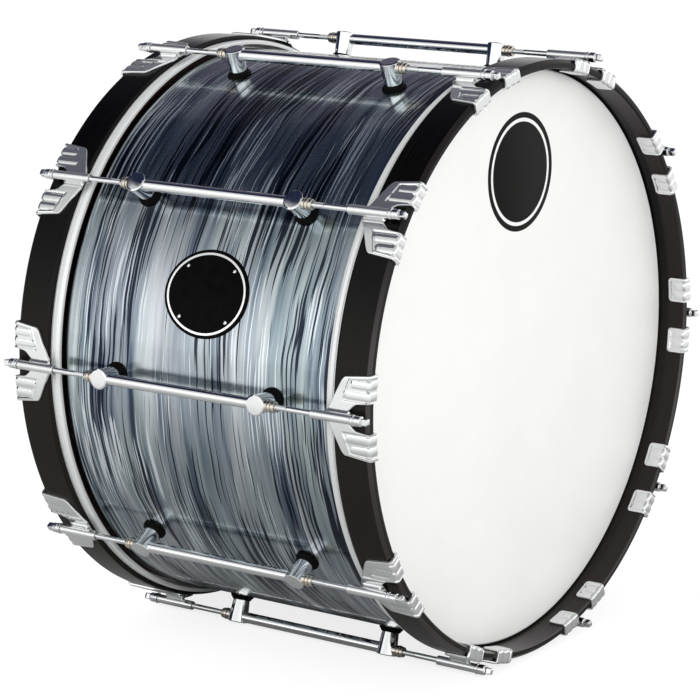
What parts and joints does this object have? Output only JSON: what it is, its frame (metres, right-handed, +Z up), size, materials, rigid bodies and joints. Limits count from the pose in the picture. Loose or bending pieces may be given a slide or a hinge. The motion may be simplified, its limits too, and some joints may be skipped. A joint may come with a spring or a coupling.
{
  "type": "marching bass drum",
  "caption": "Wide shallow drum with two white heads, black hoops, chrome tube lugs with claws and tension rods, and a streaked blue-grey wrap.",
  "frame": {"origin": "on the floor, under the middle of the drum, between the four lowest lug posts", "axes": "+X along the drum's axis towards the right head, -Y towards the badge, +Z up"},
  "size_m": [0.4276, 0.6158, 0.5903],
  "materials": {
    "shell_wood": "reddish-brown ply, satin clear coat",
    "wrap_laminate": "glossy laminate with navy, slate and silver streaks running round the shell",
    "hoop_lacquer": "black gloss lacquer over ply",
    "head_film": "smooth white film, satin",
    "flesh_hoop_metal": "satin aluminium channel",
    "chrome": "polished chrome plate",
    "rod_steel": "chromed steel",
    "gasket_rubber": "black moulded rubber",
    "nut_brass": "bright brass, turned",
    "badge_enamel": "black enamel, plain"
  },
  "bodies": {
    "shell": {"shell": "shell_wood", "wrap": "wrap_laminate", "badge_plate": "badge_enamel", "tube_lug_01": "chrome", "tube_lug_02": "chrome", "tube_lug_03": "chrome", "tube_lug_04": "chrome", "tube_lug_05": "chrome", "tube_lug_06": "chrome", "tube_lug_07": "chrome", "tube_lug_08": "chrome", "tube_lug_09": "chrome", "tube_lug_10": "chrome"},
    "right_head": {"right_hoop": "hoop_lacquer", "right_flesh_hoop": "flesh_hoop_metal", "right_head_film": "head_film", "right_claw_01": "chrome", "right_claw_02": "chrome", "right_claw_03": "chrome", "right_claw_04": "chrome", "right_claw_05": "chrome", "right_claw_06": "chrome", "right_claw_07": "chrome", "right_claw_08": "chrome", "right_claw_09": "chrome", "right_claw_10": "chrome"},
    "right_tension_rod_01": {"right_rod_01": "rod_steel"},
    "right_tension_rod_02": {"right_rod_02": "rod_steel"},
    "right_tension_rod_03": {"right_rod_03": "rod_steel"},
    "right_tension_rod_04": {"right_rod_04": "rod_steel"},
    "right_tension_rod_05": {"right_rod_05": "rod_steel"},
    "right_tension_rod_06": {"right_rod_06": "rod_steel"},
    "right_tension_rod_07": {"right_rod_07": "rod_steel"},
    "right_tension_rod_08": {"right_rod_08": "rod_steel"},
    "right_tension_rod_09": {"right_rod_09": "rod_steel"},
    "right_tension_rod_10": {"right_rod_10": "rod_steel"},
    "left_head": {"left_hoop": "hoop_lacquer", "left_flesh_hoop": "flesh_hoop_metal", "left_head_film": "head_film", "left_claw_01": "chrome", "left_claw_02": "chrome", "left_claw_03": "chrome", "left_claw_04": "chrome", "left_claw_05": "chrome", "left_claw_06": "chrome", "left_claw_07": "chrome", "left_claw_08": "chrome", "left_claw_09": "chrome", "left_claw_10": "chrome"},
    "left_tension_rod_01": {"left_rod_01": "rod_steel"},
    "left_tension_rod_02": {"left_rod_02": "rod_steel"},
    "left_tension_rod_03": {"left_rod_03": "rod_steel"},
    "left_tension_rod_04": {"left_rod_04": "rod_steel"},
    "left_tension_rod_05": {"left_rod_05": "rod_steel"},
    "left_tension_rod_06": {"left_rod_06": "rod_steel"},
    "left_tension_rod_07": {"left_rod_07": "rod_steel"},
    "left_tension_rod_08": {"left_rod_08": "rod_steel"},
    "left_tension_rod_09": {"left_rod_09": "rod_steel"},
    "left_tension_rod_10": {"left_rod_10": "rod_steel"}
  },
  "joints": [
    {"name": "right_head_slide", "type": "slide", "parent": "shell", "child": "right_head", "axis": [1, 0, 0], "range_m": [0, 0.00423]},
    {"name": "right_rod_turn_01", "type": "hinge", "parent": "right_head", "child": "right_tension_rod_01", "pos_m": [0.16, 0.09305, 0.58153], "axis": [1, 0, 0], "range_deg": [0, 1440]},
    {"name": "right_rod_turn_02", "type": "hinge", "parent": "right_head", "child": "right_tension_rod_02", "pos_m": [0.16, -0.09305, 0.58153], "axis": [1, 0, 0], "range_deg": [0, 1440]},
    {"name": "right_rod_turn_03", "type": "hinge", "parent": "right_head", "child": "right_tension_rod_03", "pos_m": [0.16, -0.2436, 0.47215], "axis": [1, 0, 0], "range_deg": [0, 1440]},
    {"name": "right_rod_turn_04", "type": "hinge", "parent": "right_head", "child": "right_tension_rod_04", "pos_m": [0.16, -0.3011, 0.29517], "axis": [1, 0, 0], "range_deg": [0, 1440]},
    {"name": "right_rod_turn_05", "type": "hinge", "parent": "right_head", "child": "right_tension_rod_05", "pos_m": [0.16, -0.2436, 0.11819], "axis": [1, 0, 0], "range_deg": [0, 1440]},
    {"name": "right_rod_turn_06", "type": "hinge", "parent": "right_head", "child": "right_tension_rod_06", "pos_m": [0.16, -0.09305, 0.00881], "axis": [1, 0, 0], "range_deg": [0, 1440]},
    {"name": "right_rod_turn_07", "type": "hinge", "parent": "right_head", "child": "right_tension_rod_07", "pos_m": [0.16, 0.09305, 0.00881], "axis": [1, 0, 0], "range_deg": [0, 1440]},
    {"name": "right_rod_turn_08", "type": "hinge", "parent": "right_head", "child": "right_tension_rod_08", "pos_m": [0.16, 0.2436, 0.11819], "axis": [1, 0, 0], "range_deg": [0, 1440]},
    {"name": "right_rod_turn_09", "type": "hinge", "parent": "right_head", "child": "right_tension_rod_09", "pos_m": [0.16, 0.3011, 0.29517], "axis": [1, 0, 0], "range_deg": [0, 1440]},
    {"name": "right_rod_turn_10", "type": "hinge", "parent": "right_head", "child": "right_tension_rod_10", "pos_m": [0.16, 0.2436, 0.47215], "axis": [1, 0, 0], "range_deg": [0, 1440]},
    {"name": "left_head_slide", "type": "slide", "parent": "shell", "child": "left_head", "axis": [-1, 0, 0], "range_m": [0, 0.00423]},
    {"name": "left_rod_turn_01", "type": "hinge", "parent": "left_head", "child": "left_tension_rod_01", "pos_m": [-0.16, 0.09305, 0.58153], "axis": [-1, 0, 0], "range_deg": [0, 1440]},
    {"name": "left_rod_turn_02", "type": "hinge", "parent": "left_head", "child": "left_tension_rod_02", "pos_m": [-0.16, -0.09305, 0.58153], "axis": [-1, 0, 0], "range_deg": [0, 1440]},
    {"name": "left_rod_turn_03", "type": "hinge", "parent": "left_head", "child": "left_tension_rod_03", "pos_m": [-0.16, -0.2436, 0.47215], "axis": [-1, 0, 0], "range_deg": [0, 1440]},
    {"name": "left_rod_turn_04", "type": "hinge", "parent": "left_head", "child": "left_tension_rod_04", "pos_m": [-0.16, -0.3011, 0.29517], "axis": [-1, 0, 0], "range_deg": [0, 1440]},
    {"name": "left_rod_turn_05", "type": "hinge", "parent": "left_head", "child": "left_tension_rod_05", "pos_m": [-0.16, -0.2436, 0.11819], "axis": [-1, 0, 0], "range_deg": [0, 1440]},
    {"name": "left_rod_turn_06", "type": "hinge", "parent": "left_head", "child": "left_tension_rod_06", "pos_m": [-0.16, -0.09305, 0.00881], "axis": [-1, 0, 0], "range_deg": [0, 1440]},
    {"name": "left_rod_turn_07", "type": "hinge", "parent": "left_head", "child": "left_tension_rod_07", "pos_m": [-0.16, 0.09305, 0.00881], "axis": [-1, 0, 0], "range_deg": [0, 1440]},
    {"name": "left_rod_turn_08", "type": "hinge", "parent": "left_head", "child": "left_tension_rod_08", "pos_m": [-0.16, 0.2436, 0.11819], "axis": [-1, 0, 0], "range_deg": [0, 1440]},
    {"name": "left_rod_turn_09", "type": "hinge", "parent": "left_head", "child": "left_tension_rod_09", "pos_m": [-0.16, 0.3011, 0.29517], "axis": [-1, 0, 0], "range_deg": [0, 1440]},
    {"name": "left_rod_turn_10", "type": "hinge", "parent": "left_head", "child": "left_tension_rod_10", "pos_m": [-0.16, 0.2436, 0.47215], "axis": [-1, 0, 0], "range_deg": [0, 1440]}
  ],
  "couplings": [
    {"joint": "right_rod_turn_01", "follows": "right_head_slide", "rad_per_m": 5936.9},
    {"joint": "right_rod_turn_02", "follows": "right_head_slide", "rad_per_m": 5936.9},
    {"joint": "right_rod_turn_03", "follows": "right_head_slide", "rad_per_m": 5936.9},
    {"joint": "right_rod_turn_04", "follows": "right_head_slide", "rad_per_m": 5936.9},
    {"joint": "right_rod_turn_05", "follows": "right_head_slide", "rad_per_m": 5936.9},
    {"joint": "right_rod_turn_06", "follows": "right_head_slide", "rad_per_m": 5936.9},
    {"joint": "right_rod_turn_07", "follows": "right_head_slide", "rad_per_m": 5936.9},
    {"joint": "right_rod_turn_08", "follows": "right_head_slide", "rad_per_m": 5936.9},
    {"joint": "right_rod_turn_09", "follows": "right_head_slide", "rad_per_m": 5936.9},
    {"joint": "right_rod_turn_10", "follows": "right_head_slide", "rad_per_m": 5936.9},
    {"joint": "left_rod_turn_01", "follows": "left_head_slide", "rad_per_m": 5936.9},
    {"joint": "left_rod_turn_02", "follows": "left_head_slide", "rad_per_m": 5936.9},
    {"joint": "left_rod_turn_03", "follows": "left_head_slide", "rad_per_m": 5936.9},
    {"joint": "left_rod_turn_04", "follows": "left_head_slide", "rad_per_m": 5936.9},
    {"joint": "left_rod_turn_05", "follows": "left_head_slide", "rad_per_m": 5936.9},
    {"joint": "left_rod_turn_06", "follows": "left_head_slide", "rad_per_m": 5936.9},
    {"joint": "left_rod_turn_07", "follows": "left_head_slide", "rad_per_m": 5936.9},
    {"joint": "left_rod_turn_08", "follows": "left_head_slide", "rad_per_m": 5936.9},
    {"joint": "left_rod_turn_09", "follows": "left_head_slide", "rad_per_m": 5936.9},
    {"joint": "left_rod_turn_10", "follows": "left_head_slide", "rad_per_m": 5936.9}
  ]
}
